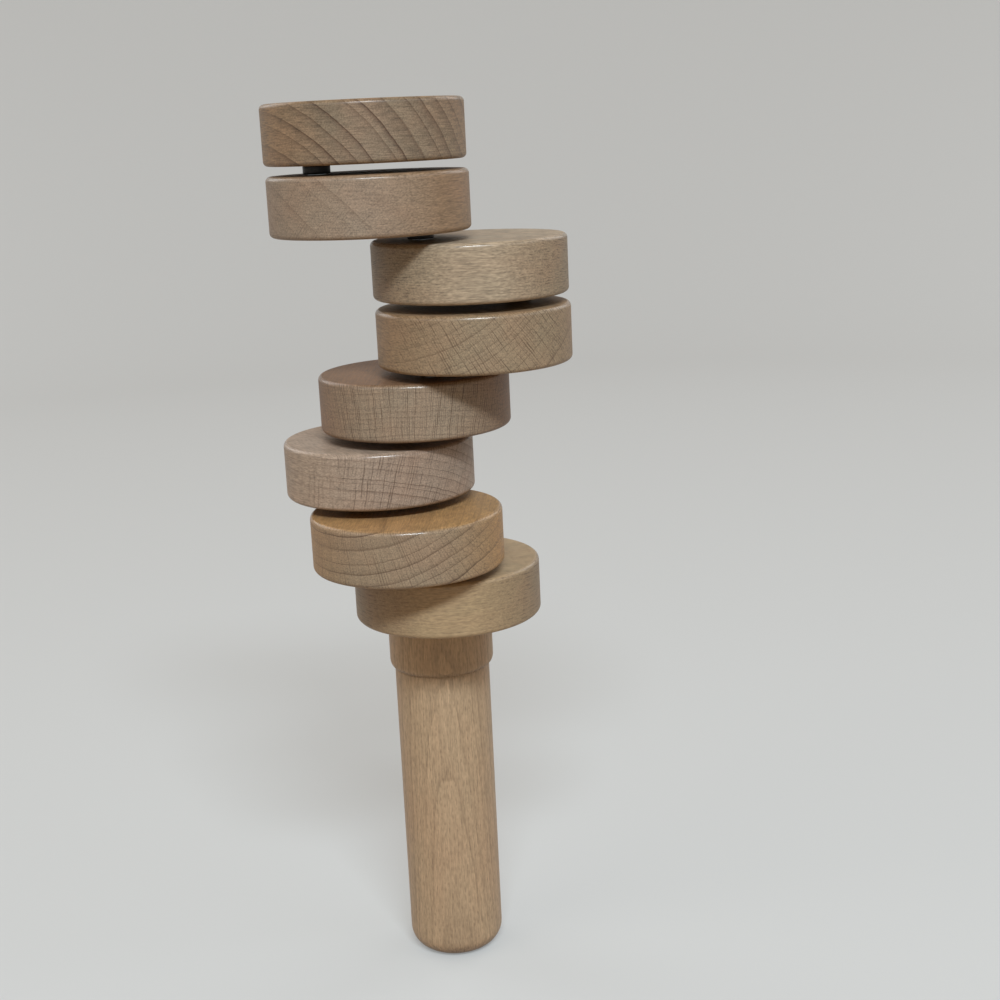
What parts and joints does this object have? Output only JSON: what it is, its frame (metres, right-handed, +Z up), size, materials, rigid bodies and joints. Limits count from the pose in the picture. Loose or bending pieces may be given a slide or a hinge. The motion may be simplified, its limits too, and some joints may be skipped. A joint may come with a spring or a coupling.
{
  "type": "handheld balancing game",
  "caption": "Handheld wooden balancing game: a round beech handle carrying a stack of equal discs, each turning freely on an off-centre pivot in the disc below.",
  "frame": {"origin": "centre of the flat foot of the handle", "axes": "+Z up the handle through the stack of discs, -Y towards the viewer of the picture, +X to the viewer's right"},
  "size_m": [0.1044, 0.0871, 0.3261],
  "materials": {
    "handle_beech": "clear satin lacquer on turned beech",
    "disc_beech": "clear satin lacquer on turned beech",
    "screw_steel": "bright zinc-plated steel",
    "insert_brass": "turned brass",
    "spacer_steel": "dark steel, lightly oiled",
    "washer_steel": "spring steel"
  },
  "bodies": {
    "handle": {"handle": "handle_beech", "threaded_insert_1": "insert_brass", "pivot_screw_1": "screw_steel", "spacer_1": "spacer_steel"},
    "disc_1": {"disc_1": "disc_beech", "wave_washer_1": "washer_steel", "wave_washer_2": "washer_steel", "spacer_2": "spacer_steel"},
    "disc_2": {"disc_2": "disc_beech", "threaded_insert_2": "insert_brass", "pivot_screw_2": "screw_steel", "wave_washer_3": "washer_steel", "spacer_3": "spacer_steel"},
    "disc_3": {"disc_3": "disc_beech", "threaded_insert_3": "insert_brass", "pivot_screw_3": "screw_steel", "wave_washer_4": "washer_steel", "spacer_4": "spacer_steel"},
    "disc_4": {"disc_4": "disc_beech", "threaded_insert_4": "insert_brass", "pivot_screw_4": "screw_steel", "wave_washer_5": "washer_steel", "spacer_5": "spacer_steel"},
    "disc_5": {"disc_5": "disc_beech", "threaded_insert_5": "insert_brass", "pivot_screw_5": "screw_steel", "wave_washer_6": "washer_steel", "spacer_6": "spacer_steel"},
    "disc_6": {"disc_6": "disc_beech", "threaded_insert_6": "insert_brass", "pivot_screw_6": "screw_steel", "wave_washer_7": "washer_steel", "spacer_7": "spacer_steel"},
    "disc_7": {"disc_7": "disc_beech", "threaded_insert_7": "insert_brass", "pivot_screw_7": "screw_steel", "wave_washer_8": "washer_steel", "spacer_8": "spacer_steel"},
    "disc_8": {"disc_8": "disc_beech", "threaded_insert_8": "insert_brass", "pivot_screw_8": "screw_steel"}
  },
  "joints": [
    {"name": "disc_1_turn", "type": "hinge", "parent": "handle", "child": "disc_1", "pos_m": [0, 0, 0.143], "axis": [0, 0, 1], "continuous": true},
    {"name": "disc_2_turn", "type": "hinge", "parent": "disc_1", "child": "disc_2", "pos_m": [0.0088, -0.03284, 0.1663], "axis": [0, 0, 1], "continuous": true},
    {"name": "disc_3_turn", "type": "hinge", "parent": "disc_2", "child": "disc_3", "pos_m": [-0.02512, -0.03047, 0.1896], "axis": [0, 0, 1], "continuous": true},
    {"name": "disc_4_turn", "type": "hinge", "parent": "disc_3", "child": "disc_4", "pos_m": [-0.01021, 0.00009, 0.2129], "axis": [0, 0, 1], "continuous": true},
    {"name": "disc_5_turn", "type": "hinge", "parent": "disc_4", "child": "disc_5", "pos_m": [0.00307, -0.03121, 0.2362], "axis": [0, 0, 1], "continuous": true},
    {"name": "disc_6_turn", "type": "hinge", "parent": "disc_5", "child": "disc_6", "pos_m": [0.0346, -0.01847, 0.2595], "axis": [0, 0, 1], "continuous": true},
    {"name": "disc_7_turn", "type": "hinge", "parent": "disc_6", "child": "disc_7", "pos_m": [0.00226, -0.02898, 0.2828], "axis": [0, 0, 1], "continuous": true},
    {"name": "disc_8_turn", "type": "hinge", "parent": "disc_7", "child": "disc_8", "pos_m": [-0.03058, -0.03778, 0.3061], "axis": [0, 0, 1], "continuous": true}
  ]
}
